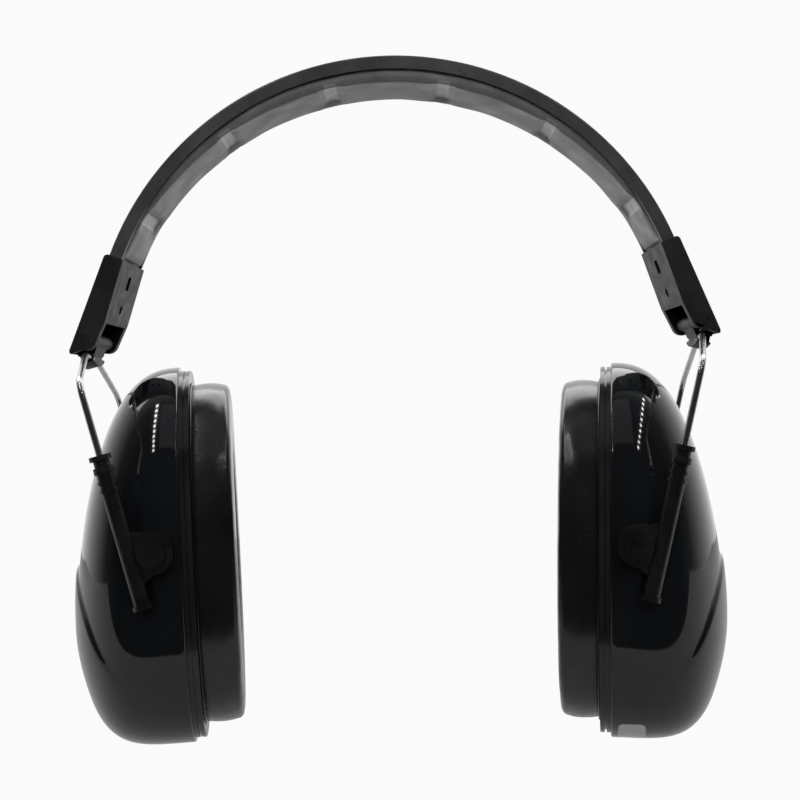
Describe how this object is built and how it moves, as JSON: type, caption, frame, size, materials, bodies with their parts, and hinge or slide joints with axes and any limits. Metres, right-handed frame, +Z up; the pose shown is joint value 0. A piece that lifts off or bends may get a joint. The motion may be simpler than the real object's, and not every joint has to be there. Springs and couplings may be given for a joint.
{
  "type": "hearing protection earmuffs",
  "caption": "Over-the-head hearing protection earmuffs: padded spring headband, folding wire yokes, sliding tilting gloss cups with soft ear cushions.",
  "frame": {"origin": "the crown: the middle of the headband lining's lowest face, where the top of a head bears", "axes": "+Z up through the top of the headband, +Y to the rear, +X towards the cup on the viewer's right when seen from the front"},
  "size_m": [0.1924, 0.1007, 0.2001],
  "materials": {
    "cover_black": "satin vinyl cover",
    "lining_vinyl": "smooth vinyl, quilted between welded bars",
    "block_black": "fine matte moulded",
    "bracket_black": "satin moulded",
    "bush_black": "satin moulded",
    "wire_steel": "bright drawn",
    "spring_steel": "blued spring steel",
    "shell_gloss": "high gloss",
    "plate_black": "gloss",
    "cushion_vinyl": "satin vinyl, slightly puckered",
    "foam": "open-cell foam"
  },
  "bodies": {
    "headband": {"headband_cover": "cover_black", "headband_foam": "foam", "headband_pad": "lining_vinyl", "headband_leaf": "spring_steel", "end_block_right": "block_black", "leaf_rivet_right": "spring_steel", "end_block_left": "block_black", "leaf_rivet_left": "spring_steel"},
    "right_link": {"hinge_link_right": "block_black"},
    "right_yoke": {"wire_yoke_right": "wire_steel", "wire_stop_front_right": "wire_steel", "wire_stop_rear_right": "wire_steel"},
    "right_slider": {"bracket_front_right": "bracket_black", "bracket_rear_right": "bracket_black", "friction_bush_front_right": "bush_black", "friction_bush_rear_right": "bush_black"},
    "right_cup": {"cup_shell_right": "shell_gloss", "seal_plate_right": "plate_black", "ear_cushion_right": "cushion_vinyl", "cushion_foam_right": "foam", "foam_liner_right": "foam", "pivot_pin_front_right": "bracket_black", "pivot_pin_rear_right": "bracket_black"},
    "left_link": {"hinge_link_left": "block_black"},
    "left_yoke": {"wire_yoke_left": "wire_steel", "wire_stop_front_left": "wire_steel", "wire_stop_rear_left": "wire_steel"},
    "left_slider": {"bracket_front_left": "bracket_black", "bracket_rear_left": "bracket_black", "friction_bush_front_left": "bush_black", "friction_bush_rear_left": "bush_black"},
    "left_cup": {"cup_shell_left": "shell_gloss", "seal_plate_left": "plate_black", "ear_cushion_left": "cushion_vinyl", "cushion_foam_left": "foam", "foam_liner_left": "foam", "pivot_pin_front_left": "bracket_black", "pivot_pin_rear_left": "bracket_black"}
  },
  "joints": [
    {"name": "right_fold", "type": "hinge", "parent": "headband", "child": "right_link", "pos_m": [0.08849, 0, -0.07202], "axis": [0, 1, 0], "range_deg": [0, 75]},
    {"name": "right_swivel", "type": "hinge", "parent": "right_link", "child": "right_yoke", "pos_m": [0.09048, 0, -0.07693], "axis": [0.2453, 0, 0.9694], "range_deg": [-2, 22]},
    {"name": "right_height", "type": "slide", "parent": "right_yoke", "child": "right_slider", "axis": [0.2453, 0, 0.9694], "range_m": [-0.0231, 0.0029]},
    {"name": "right_tilt", "type": "hinge", "parent": "right_slider", "child": "right_cup", "pos_m": [0.07017, 0.00099, -0.1343], "axis": [0.1683, 0.9848, -0.0426], "range_deg": [-14, 10]},
    {"name": "left_fold", "type": "hinge", "parent": "headband", "child": "left_link", "pos_m": [-0.08849, 0, -0.07202], "axis": [0, 1, 0], "range_deg": [-75, 0]},
    {"name": "left_swivel", "type": "hinge", "parent": "left_link", "child": "left_yoke", "pos_m": [-0.09048, 0, -0.07693], "axis": [-0.2453, 0, 0.9694], "range_deg": [-19, 5]},
    {"name": "left_height", "type": "slide", "parent": "left_yoke", "child": "left_slider", "axis": [0.2453, 0, -0.9694], "range_m": [0, 0.026]},
    {"name": "left_tilt", "type": "hinge", "parent": "left_slider", "child": "left_cup", "pos_m": [-0.07084, 0.00069, -0.13148], "axis": [-0.1181, 0.9925, -0.0299], "range_deg": [-10, 14]}
  ]
}
